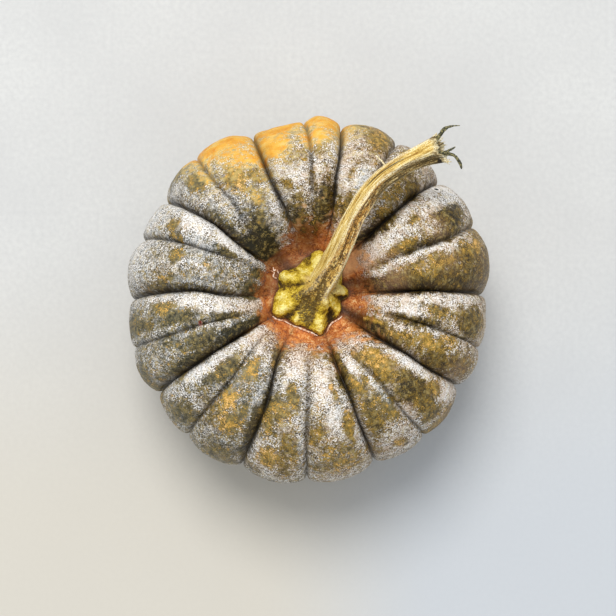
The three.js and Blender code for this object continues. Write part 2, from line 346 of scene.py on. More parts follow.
def closed_mesh(name, rows, first, last):
    """A closed mesh from rings of points, with one point before the first ring and one after the last."""
    count, columns = rows.shape[:2]
    points = np.concatenate([[first], rows.reshape(-1, 3), [last]])
    ring = np.arange(columns)
    following = (ring + 1) % columns
    top = points_of(0, 1 + ring, 1 + following)
    start = 1 + np.arange(count - 1)[:, None] * columns
    below = start + columns
    walls = points_of(start + ring, below + ring, below + following, start + following)
    base = 1 + (count - 1) * columns
    bottom = points_of(len(points) - 1, base + following, base + ring)
    mesh = bpy.data.meshes.new(name)
    mesh.from_pydata(points.tolist(), [], top.tolist() + walls.reshape(-1, 4).tolist() + bottom.tolist())
    mesh.shade_smooth()
    made = bpy.data.objects.new(name, mesh)
    bpy.context.scene.collection.objects.link(made)
    return made


def note(made, name, rows, first, last):
    """Keeps a value for each point of a closed mesh, for its material."""
    values = np.concatenate([np.ravel(first), rows.ravel(), np.ravel(last)])
    kind = "FLOAT_VECTOR" if rows.ndim == 3 else "FLOAT"
    attribute = made.data.attributes.new(name, kind, "POINT")
    attribute.data.foreach_set("vector" if rows.ndim == 3 else "value", values.astype(np.float32))


rind = closed_mesh("rind", rows, middle, skin[-1].mean(axis=0))

# Where the bloom is rubbed off or never came, and dark or ochre skin shows. For each rib, in percent: the
# place across it and down it, half of the patch's width and length, how bare it is, and the skin's tone
# from 0, ochre, to 100, green-black.
BARE_PATCHES = {
    0: [(26, 6, 35, 6, 120, 150), (12, 15, 26, 8, 110, 140), (36, 14, 24, 5, 100, 70),
        (52, 22, 24, 4, 90, 35), (20, 26, 26, 6, 100, 90), (60, 30, 24, 4.5, 90, 60),
        (75, 33, 15, 4, 70, 15), (65, 16, 14, 2.5, 70, 50), (30, 35, 40, 9, 70, 80)],
    1: [(20, 15, 15, 4, 90, 40), (34, 29, 20, 4.5, 100, 100), (7, 23, 11, 9, 80, 100),
        (6, 8, 17, 3, 60, 70), (62, 20, 10, 1.5, 60, 50), (94, 14, 13, 4, 90, 95),
        (78, 31, 12, 2, 40, 30)],
    2: [(23, 15, 20, 3, 70, 45), (9, 25, 20, 3, 90, 80), (40, 21, 25, 4, 50, 30), (41, 26, 23, 4, 50, 70),
        (8, 8, 26, 6, 110, 150), (60, 36, 20, 7, 60, 60)],
    3: [(45, 13, 17, 3, 80, 75), (30, 33, 26, 6, 90, 40), (81, 10, 14, 4, 70, 70),
        (60, 20, 9, 1.2, 70, 60), (82, 23, 15, 3, 40, 20)],
    4: [(76, 7, 33, 5.5, 100, 90), (35, 12, 40, 6, 90, 110), (70, 23, 25, 2, 50, 40),
        (90, 16, 12, 3, 50, 95)],
    5: [(55, 6.5, 40, 6, 95, 95), (67, 17, 12, 1.5, 80, 70), (35, 13, 25, 3, 60, 80),
        (41, 22, 15, 2, 50, 40), (19, 23, 15, 2, 40, 30), (60, 24, 30, 2, 30, 30)],
    6: [(82, 7, 30, 7, 120, 150), (59, 12, 12, 2, 80, 70), (48, 16, 16, 2, 50, 20),
        (26, 20, 19, 2.5, 60, 15), (65, 22, 22, 3, 70, 15), (94, 12, 12, 5, 50, 100)],
    7: [(33, 28, 22, 3, 90, 50), (50, 6, 60, 7, 120, 160), (80, 15, 30, 8, 60, 120),
        (50, 40, 30, 5, 60, 70)],
    8: [(77, 13, 20, 3, 70, 70), (60, 26, 21, 2, 70, 35), (42, 18, 15, 1.6, 40, 40),
        (85, 25, 14, 1.6, 60, 30)],
    # Painted shade: rib 9's long green-black patch at 93 across darkens the side of the furrow beside it.
    9: [(15, 3.5, 22, 3, 90, 85), (38, 16, 9, 2, 60, 0), (29, 22.6, 14, 1.6, 100, 40),
        (80, 4, 30, 3.5, 100, 95), (70, 25, 25, 3, 60, 50), (93, 19, 9, 10, 60, 100),
        (55, 19, 20, 2, 50, 50)],
    10: [(45, 10, 12, 1, 60, 0), (68, 22, 18, 4, 90, 85), (36, 25, 16, 3, 80, 40),
        (65, 33, 14, 5, 90, 70), (87, 12, 18, 4, 80, 95), (85, 20, 12, 3, 50, 90)],
    11: [(47, 19, 30, 4.5, 70, 95), (72, 9, 35, 7, 120, 150), (12, 26, 20, 3, 30, 70),
        (85, 23, 16, 9, 70, 100), (40, 40, 30, 6, 40, 70)],
    12: [(70, 33, 30, 5, 50, 90), (66, 18, 20, 4.5, 100, 65), (7, 28, 12, 2, 70, 40),
        (72, 25, 19, 2, 40, 70)],
    13: [(30, 15, 22, 3, 80, 25), (88, 7.5, 20, 4, 90, 80), (47, 26, 25, 3, 60, 30),
        (25, 22, 20, 2.5, 60, -10), (68, 23, 10, 3, 80, 50), (10, 27, 15, 3, 30, 60),
        (93, 25, 10, 10, 70, 100), (60, 37, 30, 5, 50, 80)],
    14: [(40, 20, 30, 3, 50, 30), (61, 16.5, 17, 3, 90, 50), (13, 21, 15, 5, 85, 40),
        (12, 17, 10, 2, 60, 80), (37, 32, 19, 3, 90, 10), (70, 27, 20, 5, 60, 60),
        (64, 34, 19, 4, 60, 50)],
    15: [(80, 24, 9, 5, 90, 35), (67, 16, 9, 3, 60, 30), (55, 32, 40, 6, 55, 30), (29, 7, 20, 2, 40, 10),
        (20, 24, 20, 3, 40, 40)],
    16: [(10, 11, 30, 6, 95, 80), (34, 17, 18, 3, 80, 20), (34, 24, 24, 4.5, 80, 70),
        (74, 23.5, 25, 4, 80, 55), (60, 34, 12, 2, 90, 20), (62, 16, 14, 2, 60, 60)],
    17: [(30, 15.5, 30, 4.5, 100, 35), (46, 25, 35, 5, 120, 95), (12, 11.5, 14, 3, 70, 40),
        (78, 28, 16, 2.5, 90, 40), (36, 31, 20, 5, 90, 65), (50, 13, 14, 3, 70, 0)],
    18: [(20, 8, 40, 9, 100, 110), (41, 15.5, 24, 3, 80, 50), (56, 21.5, 27, 4, 90, 20),
        (92, 17, 14, 5, 70, 90), (25, 26, 25, 6, 80, 80), (57, 6.5, 14, 4, 90, 20),
        (82, 26, 12, 4, 60, 30), (45, 32, 33, 7, 70, 70)],
    19: [(6, 14, 16, 6, 80, 90), (45, 21, 22, 3, 80, 60), (42, 31, 34, 4.5, 100, 85),
        (38, 12, 15, 2, 40, 20), (7, 19, 16, 5, 60, 80), (20, 8, 20, 3, 50, 30)],
}

# Where the bloom is thick, in percent: place and size as above, how thick it is, and its tint from -100,
# blue, to 100, pink.
BLOOM_PATCHES = {
    0: [(90, 20, 10, 9, 80, 0), (80, 9, 20, 4, 60, 10)],
    # Painted light: rib 1's thick bloom at 50 across, 6 down, brightens the pit's edge where the stalk's
    # shadow falls.
    1: [(60, 10, 28, 8, 70, 0), (66, 33, 30, 7, 100, -20), (50, 6, 50, 5, 100, 50)],
    2: [(42, 13, 17, 4.5, 30, -20)],
    3: [(24, 20, 18, 3.5, 70, -100), (82, 22, 18, 5, 50, 80), (57, 18, 18, 3, 30, 0)],
    4: [(71, 20, 31, 4, 40, 70), (30, 25, 25, 4, 30, -40)],
    5: [(36, 17, 35, 7, 45, 30), (73, 22, 25, 4, 40, 50)],
    6: [(20, 12, 11, 3.5, 50, 30), (97, 17, 18, 6, 30, -40)],
    7: [(66, 18, 37, 8, 30, -50), (80, 38, 30, 7, 60, -60)],
    8: [(30, 15, 35, 12, 100, -10), (50, 38, 50, 7, 80, -70), (50, 21, 21, 4.5, 70, 0),
        (89, 19, 14, 4.5, 70, -100)],
    # Painted shade: rib 9's blue-grey patch at 88 across darkens the side of the furrow beside it.
    9: [(40, 37, 50, 7, 70, -50), (43, 19, 19, 4, 70, 0), (88, 18, 10, 6, 70, -100),
        (60, 24, 19, 5, 60, 20)],
    10: [(21, 17, 9, 11, 60, 0), (50, 10, 35, 9, 100, 10), (31, 18, 11, 6, 80, 0),
        (84, 24, 11, 7, 30, -30)],
    11: [(32, 15, 28, 2.6, 30, 0), (30, 41, 40, 3.5, 80, -50)],
    12: [(50, 9, 45, 6, 100, 50), (28, 20, 19, 8, 80, -10), (73, 27, 25, 3.5, 30, -40)],
    13: [(23, 11, 15, 2.4, 80, 20), (78, 20, 10, 4.6, 40, -80), (57, 11.5, 20, 2.3, 50, 20)],
    14: [(50, 35, 50, 6, 35, 100), (60, 10, 30, 4, 70, 20), (74, 23, 20, 3, 50, 20),
        (38, 14.5, 14, 2.3, 40, 0), (92, 20, 7, 10, 40, -80)],
    15: [(50, 36, 50, 6, 30, 90), (40, 14, 33, 7, 50, 80), (60, 22, 20, 4, 60, -40),
        (79, 12, 10, 4, 60, 10)],
    16: [(60, 35, 50, 5, 30, 100), (53, 12, 24, 3, 90, 10), (82, 20, 8, 6, 60, -100),
        (66, 27, 23, 4.5, 30, 40)],
    17: [(50, 38, 50, 5, 30, 90), (43, 8, 18, 2.2, 60, 20), (86, 20, 12, 6, 100, 0),
        (12, 27, 15, 3, 60, 100), (75, 34, 15, 5, 70, 70), (87, 10, 12, 5, 50, 60)],
    18: [(58, 14.5, 15, 2, 40, 10), (89, 21, 11, 5, 70, 0), (66, 31, 26, 5, 30, 50)],
    19: [(30, 12, 29, 7, 100, 10), (71, 17, 12, 12, 70, 20), (78, 28, 18, 5, 50, 20)],
}

# The patches' edges wander: each point reads them a little beside its own place.
position = rib + x + 0.1 * wobble(growth, 9, 5) + 0.05 * wobble(growth, 3.5, 6)
drift = s + 0.012 * wobble(growth, 11, 7) + 0.006 * wobble(growth, 4, 8)


def patch_weight(number, patch):
    """How strongly a patch, given in percent of its rib, covers each point."""
    middle, down, wide, long, strength = np.array(patch[:5]) / 100
    beside = ((position - number - middle + ribs / 2) % ribs - ribs / 2) / wide
    return strength * hump(beside**2 + ((drift - down) / long) ** 2, 1, 1.3)


bare = np.zeros_like(position)
tone = 0.62 + 0.35 * wobble(growth, 22, 9)
for number, patches in BARE_PATCHES.items():
    for patch in patches:
        weight = patch_weight(number, patch)
        tone = tone + (patch[5] / 100 - tone) * np.minimum(1.4 * weight, 1)
        bare = np.maximum(bare, weight)
bloom = np.zeros_like(position)
tint = 0.5 * wobble(growth, 26, 10) - 0.45 * np.cos(angle - math.radians(200))
for number, patches in BLOOM_PATCHES.items():
    for patch in patches:
        weight = patch_weight(number, patch)
        tint = tint + (patch[5] / 100 - tint) * weight
        bloom = np.maximum(bloom, weight)

# The sides and the underside, away from the light, have less bloom and wandering patches of their own.
under = ease(0.45, 0.75, s)
wander = ease(0.1, 0.55, wobble(growth * (1, 1, 0.5), 16, 11)) * ease(0.3, 0.4, s)
thinner = 0.05 * (1 - ease(20, 70, np.abs(degrees_apart(np.degrees(angle), 212))))
cover = 0.61 - thinner + 0.39 * bloom - 0.62 * bare - 0.42 * wander * (1 - bare) - 0.16 * under
faces_near = np.where(x < 0.5, 1, -1) * np.cos(angle)
# Painted highlight: thicker, paler bloom beside the deep furrows, on the sides that face the light.
lit_edge = by_deep_furrow * hump(from_furrow - 0.12, 0.1) * ease(0.08, 0.18, s) * (1 - ease(0.3, 0.4, s))
cover = cover + 0.18 * lit_edge * (1 - ease(-0.5, 0.1, faces_near))
tone = tone + 0.1 - 0.35 * under

# Orange skin where the sun reached the fruit, over the far left shoulder, in percent: place and size as
# above, and how strong it is.
ORANGE_PATCHES = {
    3: [(90, 38, 20, 5, 40), (95, 48, 35, 7, 80)],
    4: [(45, 38.5, 65, 11, 120), (70, 56, 30, 5, 50), (70, 30, 40, 5, 75)],
    5: [(50, 41, 70, 12, 125), (6, 29, 20, 5, 70), (20, 62, 25, 6, 50), (75, 28, 40, 6, 90)],
    6: [(50, 40, 75, 13, 110), (30, 26, 45, 4, 60), (6, 24, 20, 7, 70), (45, 18, 25, 5, 30),
        (75, 58, 20, 5, 45)],
    7: [(0, 42, 38, 9, 85), (5, 28, 20, 5, 50), (40, 53, 15, 4, 40)],
    8: [(0, 47, 25, 6, 50)],
}
orange = np.zeros_like(position)
for number, patches in ORANGE_PATCHES.items():
    for patch in patches:
        orange = np.maximum(orange, patch_weight(number, patch))
orange *= 1 + 0.4 * wobble(growth, 13, 12)

# The furrows get painted shade, darkest in their creases. The pit is stained red-brown, from its floor up
# its wall, farthest at the top side and along the furrows.
furrow_strength = np.where(by_deep_furrow, deep_share(s), 0.65 * shallow_share(s))
crease_width = 0.036 - 0.008 * ease(0.15, 0.35, s)
crease = furrow_strength * (1 - 0.2 * ease(0.2, 0.4, s)) * hump(from_furrow, crease_width, 1.3)


def around_curve(points, degrees):
    """A smooth closed curve through values given at some degrees, read at any degrees."""
    points = np.array([(at + turn, value) for turn in (-360, 0, 360) for at, value in points], float)
    at = np.mod(degrees, 360)
    after = np.searchsorted(points[:, 0], at, side="right")
    a, b, c, d = (points[after + k] for k in (-2, -1, 0, 1))
    t = (at - b[..., 0]) / (c[..., 0] - b[..., 0])
    bend = t * (1 - t) * ((1 - t) * (c[..., 1] - a[..., 1]) - t * (d[..., 1] - b[..., 1])) / 2
    return b[..., 1] + (c[..., 1] - b[..., 1]) * ease(0, 1, t) + bend


# The pit's wall: how far the stain runs up it, as a share of the rib, by degrees, and, every 15 degrees,
# how
# much painted shade darkens it there: deepest on the far wall, which faces away from the light, and at the
# mouths of some deep furrows. Below zero it is paler: painted light beside the stalk, where its shadow
# falls.
STAIN_REACH = [
    (0, 0.045), (30, 0.05), (60, 0.06), (90, 0.07), (105, 0.055), (120, 0.03), (135, 0.02), (150, 0.02),
    (165, 0.02), (180, 0.03), (195, 0.012), (210, 0.05), (225, 0.03), (240, 0.045), (255, 0.03),
    (270, 0.035), (285, 0.06), (300, 0.05), (315, 0.06), (330, 0.06), (345, 0.045),
]
PIT_WALL_SHADE_AND_LIGHT = [
    0.6, 0.8, -1.1, -0.6, 0, 0.1, 0.75, 0.65, 0.65, 1, 0.6, 0.65,
    0.7, 0.15, 0.55, 0, 0.15, 0, 0.05, 0.4, 0.2, 0, 1.1, 0.1,
]
shade_there = [(15 * number, shade) for number, shade in enumerate(PIT_WALL_SHADE_AND_LIGHT)]
shade_there = around_curve(shade_there, np.degrees(angle))
pit_shade = shade_there * (1 - ease(0.05, 0.15, s))
# Painted shade: darker furrows near the pit and a fainter band down the deep furrows' sides, mostly on the
# sides that face away from the light.
painted_furrow_shade = np.where(by_deep_furrow, 0.9, 0.25) * ease(0, 0.05, s) * (1 - ease(0.1, 0.3, s))
painted_furrow_shade = painted_furrow_shade * hump(from_furrow, 0.13, 1.5) * (0.6 + 0.4 * np.clip(shade_there, 0, 1))
rib_shade = 0.4 * by_deep_furrow * ease(0.05, 0.14, s) * (1 - ease(0.3, 0.5, s)) * hump(from_furrow, 0.2)
painted_furrow_shade = np.maximum(painted_furrow_shade, rib_shade) * (0.1 + 0.9 * ease(-0.2, 0.6, faces_near))
painted_furrow_shade = np.clip(painted_furrow_shade * (1 + 0.8 * wobble(growth, 5, 15)), 0, 0.9)
stain_edge = around_curve(STAIN_REACH, np.degrees(angle))
stain_edge = stain_edge * (1 + 0.5 * wobble(growth * (1, 1, 0.4), 7, 14))
stain_edge = stain_edge + 0.015 * hump(from_furrow, 0.14) * np.where(by_deep_furrow, 1, 0.3)
stain = np.clip(1 - s / stain_edge, -1, 1)
halo = 0.5 * np.clip(1 - 2.5 * np.maximum(shade_there, 0), 0, 1) * (1 - ease(0.03, 0.14, s))
halo = halo * (1 - np.clip(bare, 0, 1) * ease(0.5, 1.2, tone))

# The edge of the stalk's foot, where a thin ring of painted shade marks the gap: degrees, and millimetres
# from the pit's middle.
FOOT_OUTLINE = [
    (-4, 18), (13, 15), (30, 16.6), (50, 15.6), (77, 19.8), (98, 16), (118, 13.5), (135, 15), (152, 17.3),
    (174, 15.3), (194, 18.2), (204, 20), (214, 21), (228, 17.6), (242, 17.6), (258, 17), (270, 18.6),
    (283, 20.9), (299, 17.4), (313, 17.4), (327, 17), (341, 15),
]

foot_reach = 0.001 * around_curve(FOOT_OUTLINE, np.degrees(angle[0]))
floor_edge_radius = np.hypot(floor_edge[:, 0] - PIT_CENTRE[0], floor_edge[:, 1] - PIT_CENTRE[1])
floor_ones = np.ones((len(FLOOR_RINGS), skin.shape[1]))
for name, values, on_floor in (
    ("cover", cover, 0), ("tone", tone, 0.5), ("tint", tint, 0), ("orange", orange, 0),
    ("crease", crease, 0), ("painted_furrow_shade", painted_furrow_shade, 0), ("stain", stain, 1), ("halo", halo, 0),
    ("pit_shade", pit_shade, pit_shade[0]),
):
    note(rind, name, np.concatenate([floor_ones * on_floor, values[:-1]]), np.mean(on_floor), values[-1, 0])
# Painted shade: a thin dark ring in the gap at the foot's edge, and dark ends of the deep furrows on the
# pit's floor and low on its wall.
furrow_end_shade = 0.6 * hump(from_furrow, 0.07, 1) * by_deep_furrow
foot_gap_shade = 0.75 * hump(floor_share[..., 0] * floor_edge_radius - foot_reach, 0.0011)
foot_gap_shade = np.maximum(foot_gap_shade, furrow_end_shade * ease(0.8, 1, floor_share[..., 0]))
wall_furrow_shade = furrow_end_shade * (1 - ease(0, 0.03, s[:-1]))
note(rind, "foot_gap_and_furrow_shade", np.concatenate([foot_gap_shade, wall_furrow_shade]), 0, 0)
floor_growth = growth[0] * (1, 1, 0) * floor_share
note(rind, "growth", np.concatenate([floor_growth, growth[:-1]]), (0, 0, 0), (0, 0, RIB_LENGTH))


# The powdery look comes from a cover that breaks up into specks. The same specks mark the stalk.
def new_group(name, inputs, outputs):
    group = bpy.data.node_groups.new(name, "ShaderNodeTree")
    for title, kind, value in inputs:
        socket = group.interface.new_socket(title, in_out="INPUT", socket_type=kind)
        if value is not None:
            socket.default_value = value
    for title, kind in outputs:
        group.interface.new_socket(title, in_out="OUTPUT", socket_type=kind)
    return group, group.nodes.new("NodeGroupInput").outputs, group.nodes.new("NodeGroupOutput").inputs


def stretched(vector, factors):
    inputs = {0: vector, 1: factors}
    return part("ShaderNodeVectorMath", inputs, operation="MULTIPLY").outputs["Vector"]


specks, given, result = new_group(
    "specks",
    [
        ("Vector", "NodeSocketVector", None), ("Cover", "NodeSocketFloat", 0.5),
        ("Softness", "NodeSocketFloat", 0.1),
    ],
    [("Mask", "NodeSocketFloat"), ("Grain", "NodeSocketFloat"), ("Mottle", "NodeSocketFloat")],
)
tree = specks
blotches = lumps_of(given["Vector"], 3.9, 4.0, 0.65)
middling = lumps_of(given["Vector"], 1.6)
fine = lumps_of(given["Vector"], 0.7, 1.0)
threshold = calc("MULTIPLY_ADD", blotches, 1.1, -0.55)
threshold = calc("MULTIPLY_ADD", middling, 0.9, threshold)
threshold = calc("MULTIPLY_ADD", fine, 0.8, threshold)
above = calc("SUBTRACT", given["Cover"], calc("SUBTRACT", threshold, 0.35))
low = calc("MULTIPLY", given["Softness"], -1.0)
tree.links.new(soft_step(above, low, given["Softness"]), result["Mask"])
beside = part("ShaderNodeVectorMath", {0: given["Vector"], 1: (31.0, 17.0, 5.0)}, operation="ADD")
grain = lumps_of(beside.outputs["Vector"], 0.6, 1.5, 0.6)
tree.links.new(soft_step(grain, 0.34, 0.66), result["Grain"])
tree.links.new(soft_step(lumps_of(beside.outputs["Vector"], 2.6, 3.0, 0.6), 0.3, 0.7), result["Mottle"])

rind_skin, tree, shader = new_material("rind_skin")


def kept(name, output="Fac"):
    return part("ShaderNodeAttribute", attribute_name=name).outputs[output]


growth_at = kept("growth", "Vector")
powder = part("ShaderNodeGroup", {}, node_tree=specks)
tree.links.new(stretched(growth_at, (1, 1, 0.55)), powder.inputs["Vector"])
tree.links.new(kept("cover"), powder.inputs["Cover"])
powder.inputs["Softness"].default_value = 0.2
mask, grain, mottle = (powder.outputs[name] for name in ("Mask", "Grain", "Mottle"))

# Some places are smooth and others grainy.
grainy = soft_step(lumps_of(growth_at, 7.0, 2.0), 0.38, 0.62, 0.35, 1.15)
grain = calc("MULTIPLY_ADD", calc("SUBTRACT", grain, 0.5), grainy, 0.5)
flames = lumps_of(stretched(growth_at, (1, 1, 0.42)), 2.6, 3.0, 0.6)

# Skin without bloom, from ochre through olive to green-black.
tone_at = calc("MULTIPLY_ADD", grain, 0.8, kept("tone"))
tone_at = calc("MULTIPLY_ADD", mottle, 0.45, tone_at)
tone_at = calc("MULTIPLY_ADD", calc("SUBTRACT", flames, 0.5), 2.2, tone_at)
tone_at = calc("MULTIPLY", calc("SUBTRACT", tone_at, 0.2), 0.54)
bare_skin = colour_steps(tone_at, [
    (0.0, (242, 196, 128)), (0.2, (208, 160, 78)), (0.4, (154, 122, 42)), (0.6, (104, 82, 24)),
    (0.8, (60, 46, 12)), (1.0, (24, 18, 4)),
])
warm = soft_step(kept("tint"), 0.3, 1.0, 0.0, 0.6)
bare_skin = blend(warm, bare_skin, blend(grain, (178, 138, 112), (110, 78, 54)))
cool = soft_step(kept("tint"), 0.3, -0.6, 0.0, 0.7)
grey_olive = blend(soft_step(tone_at, 0.5, 0.9), (100, 102, 84), (40, 42, 28))
bare_skin = blend(calc("MULTIPLY", cool, soft_step(tone_at, 0.3, 0.6)), bare_skin, grey_olive)

# Bloom: thin and grey to thick and nearly white, tinted blue or pink in places.
thick = calc("MULTIPLY_ADD", kept("cover"), 1.1, -0.75)
dusting = calc("MULTIPLY_ADD", calc("SUBTRACT", 1.0, grain), 1.4, thick)
dusting = calc("MULTIPLY_ADD", mottle, 0.3, dusting)
dusting = calc("SUBTRACT", dusting, 0.2)
pale_bloom = colour_steps(dusting, [
    (0.0, (62, 48, 32)), (0.3, (130, 112, 88)), (0.6, (190, 178, 162)), (1.0, (240, 237, 234)),
])
greyed = calc("MULTIPLY", soft_step(kept("tint"), 0.4, -0.4, 0.0, 0.65), soft_step(dusting, 0.9, 0.3))
grey_bloom = blend(grain, (148, 148, 144), (62, 62, 56))
pale_bloom = blend(greyed, pale_bloom, grey_bloom)
tint_at = calc("MULTIPLY_ADD", lumps_of(growth_at, 3.2, 3.0, 0.6), 4.0, kept("tint"))
pink = soft_step(tint_at, 2.0, 3.0, 0.0, 0.55)
blue = soft_step(tint_at, 2.0, 1.0, 0.0, 0.5)
pale_bloom = blend(calc("MULTIPLY", pink, 0.8), pale_bloom, (206, 176, 148))
pale_bloom = blend(calc("MULTIPLY", blue, 0.8), pale_bloom, (150, 160, 166))
skin_colour = blend(mask, bare_skin, pale_bloom)

# Orange shows through the bloom, in specks at its edge.
sun_edge = calc("MULTIPLY_ADD", mottle, 0.5, kept("orange"))
sun_edge = calc("MULTIPLY_ADD", grain, 0.35, sun_edge)
sunned = colour_steps(lumps_of(growth_at, 6.0, 4.0, 0.6), [
    (0.3, (216, 138, 34)), (0.5, (232, 170, 60)), (0.62, (234, 190, 96)), (0.75, (220, 192, 120)),
])
sunned = blend(calc("MULTIPLY", grain, 0.3), sunned, (176, 136, 54))
olive = blend(grain, (216, 192, 124), (160, 138, 74))
skin_colour = blend(soft_step(sun_edge, 0.45, 0.85, 0.0, 0.75), skin_colour, olive)
skin_colour = blend(soft_step(sun_edge, 0.75, 1.2), skin_colour, sunned)

# The pit's stain runs up its wall in soft streaks.
streaks = lumps_of(stretched(growth_at, (1, 1, 0.8)), 4.0, 3.0, 0.55)
stained = colour_steps(calc("MULTIPLY_ADD", mottle, 0.35, calc("MULTIPLY_ADD", grain, -0.3, streaks)), [
    (0.2, (112, 54, 16)), (0.4, (176, 92, 34)), (0.6, (204, 122, 56)), (0.78, (226, 164, 100)),
    (0.95, (236, 200, 152)),
])
# Painted shade darkens the stain where pit_shade is above zero. Below zero, painted light makes it paler
# beside the stalk, where the stalk's shadow falls.
stained = blend(calc("MULTIPLY", kept("pit_shade"), 0.9), stained, (66, 32, 6))
stained = blend(calc("MULTIPLY", kept("pit_shade"), -0.55), stained, (250, 196, 140))
# Painted shade at the foot's edge and at the deep furrows' ends.
stained = blend(kept("foot_gap_and_furrow_shade"), stained, (62, 34, 16))
stain_edge = calc("MULTIPLY_ADD", calc("SUBTRACT", streaks, 0.5), 1.8, kept("stain"))
stain_edge = calc("MULTIPLY_ADD", calc("SUBTRACT", mottle, 0.5), 0.8, stain_edge)
halo_colour = blend(soft_step(grain, 0.3, 0.7), (236, 200, 160), (150, 92, 52))
skin_colour = blend(kept("halo"), skin_colour, halo_colour)
skin_colour = blend(soft_step(stain_edge, -0.5, 0.6, 0.0, 0.96), skin_colour, stained)

# Two healed scars: a black dot with a pale rim on the right shoulder and a red one on the left. For each
# round spot: its place in millimetres and degrees round the fruit and as a share down the rib, its radius
# and its colour.
SCAR_STRETCH = 0.45
scar_at = stretched(growth_at, (1, 1, SCAR_STRETCH))
for girth_there, degrees, down, reach, shade in (
    (81.2, 39.9, 0.3205, 2, (250, 244, 236)), (81.2, 39.9, 0.3205, 1.1, (24, 18, 10)),
    (53, 197.7, 0.18, 1.2, (196, 150, 136)), (53, 197, 0.179, 0.8, (116, 44, 30)),
):
    way = math.radians(degrees)
    spot = (girth_there * math.cos(way), girth_there * math.sin(way), SCAR_STRETCH * RIB_LENGTH * down)
    off = part("ShaderNodeVectorMath", {0: scar_at, 1: spot}, operation="DISTANCE").outputs["Value"]
    skin_colour = blend(soft_step(off, 1.2 * reach, 0.7 * reach), skin_colour, shade)

# Painted shade in the furrows, on their sides that face away from the light.
skin_colour = blend(kept("painted_furrow_shade"), skin_colour, (56, 34, 8))
# Painted shade: the furrows' creases are darkened almost to black.
skin_colour = blend(kept("crease"), skin_colour, (22, 16, 8))
tree.links.new(skin_colour, shader.inputs["Base Color"])
tree.links.new(soft_step(mask, 0, 1, 0.5, 0.85), shader.inputs["Roughness"])
shader.inputs["Specular IOR Level"].default_value = 0.3
relief = calc("MULTIPLY_ADD", grain, -1.0, mottle)
bump = part("ShaderNodeBump", {"Height": relief, "Strength": 0.6, "Distance": 0.0003})
tree.links.new(bump.outputs["Normal"], shader.inputs["Normal"])

rind.data.materials.append(rind_skin)
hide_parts("fruit")
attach(rind, "root")


# The stalk
# Dry, woody and five-ridged, grown as one with the knobbly, star-shaped foot that covers the pit's floor.
# It was cut off at its far end, where the pith has shrunk into hollows.
PIT_FLOOR = 78.0
SEAT_GAP = 0.3
RIM_HEIGHT = 2.6
FIRST_RIDGE = 204
RIDGE_SHARE = 0.14
STALK_LENGTH = 98
STALK_TWIST = 60
STALK_LEAN = 58
SKIRT_END = 0.125
STALK_COLUMNS = 220
TUBE_ROWS = 190
SKIRT_ROWS = 70
END_ROWS = 14

# The foot's knobs: degrees, distance from the pit's middle, height and half of the width in millimetres.
KNOBS = [
    (-3, 12, 3.6, 3.6), (27, 14.5, 1.8, 3), (77, 14.5, 2.4, 3.8), (117, 11, 1.4, 3), (150, 14, 2.2, 3),
    (190, 14.5, 1.8, 3), (213, 16.5, 2.8, 3.8), (242, 14.5, 1.9, 3), (283, 16.5, 2.4, 3.4),
    (321, 11.5, 3.2, 3.2),
]
# The creases between the knobs: degrees at the stalk, depth in millimetres, half of the width in degrees,
# and the degrees that they turn by on their way out.
CREASES = [
    (12, 0.9, 5, 0), (50, 0.8, 5, 0), (98, 0.5, 6, 0), (133, 0.9, 7, 0), (170, 0.9, 7, 0), (201, 0.3, 4, 0),
    (228, 1.0, 6, 0), (262, 0.7, 5, 0), (305, 1.9, 7, 0), (335, 2.8, 9, 13),
]
# The stalk's middle line: x, y, the height above the pit's floor and the radius in millimetres.
STALK_LINE = [
    (0.7, -3.3, 1, 6.6), (2.5, -0.7, 6, 6.2), (6.2, 5.1, 11.5, 5.9), (10.5, 12.1, 17.5, 5.6),
    (14.8, 20.7, 25, 5.1), (17.7, 27.4, 29.5, 4.8), (21.3, 35, 34, 4.5), (27.2, 44.4, 39, 4.3),
    (32.2, 49.8, 41.5, 4.2), (37.8, 53.9, 43.5, 4.2), (45, 58.2, 44.8, 4.4), (53, 62, 45, 5),
    (59.9, 64.7, 45, 6.2),
]


def stalk_rings(shares):
    """The stalk's middle, two directions across it, its own direction and its radius, by its shares."""
    line, reach = smooth_line(STALK_LINE, 6000, 3)
    at = along_line(line, reach, shares)
    before = along_line(line, reach, np.maximum(shares - 0.002, 0))
    after = along_line(line, reach, np.minimum(shares + 0.002, 1))
    forward = unit((after - before)[:, :3])
    level = unit(forward[:, [1, 0, 2]] * (1, -1, 0))
    middle = at[:, :3] + (0, 0, PIT_FLOOR)
    return middle, level, np.cross(forward, level), forward, at[:, 3]


stalk_degrees = np.arange(STALK_COLUMNS) * 360 / STALK_COLUMNS
stalk_angle = np.radians(stalk_degrees)
ring_at = points_of(np.cos(stalk_angle), np.sin(stalk_angle), 0)


def stalk_surface(shares, shrink=1.0):
    """Points on the ridged stalk, a row for each share of its length, and each row's own direction."""
    middle, level, down, forward, size = stalk_rings(shares)
    ridge = np.cos(5 * np.radians(stalk_degrees - FIRST_RIDGE - STALK_TWIST * shares[:, None]))
    size = size[:, None] * (1 + RIDGE_SHARE * ridge) * shrink
    round_it = stalk_angle - math.radians(STALK_LEAN - 90)
    points = middle[:, None] + level[:, None] * (size * np.cos(round_it))[..., None]
    return points + down[:, None] * (size * np.sin(round_it))[..., None], forward


# From the cut end down to the top of the skirt, and on down the skirt to the foot's edge.
tube_shares = np.linspace(1, SKIRT_END, TUBE_ROWS)
tube, forward = stalk_surface(tube_shares)
jagged = 0.9 * np.sin(5 * stalk_angle + 1) + 0.5 * np.sin(11 * stalk_angle)
jagged = jagged + 0.9 * wobble(ring_at, 0.16, 20)
near_cut = ease(0.955, 1, tube_shares)[:, None]
facing_down = np.sin(stalk_angle - math.radians(STALK_LEAN - 90))


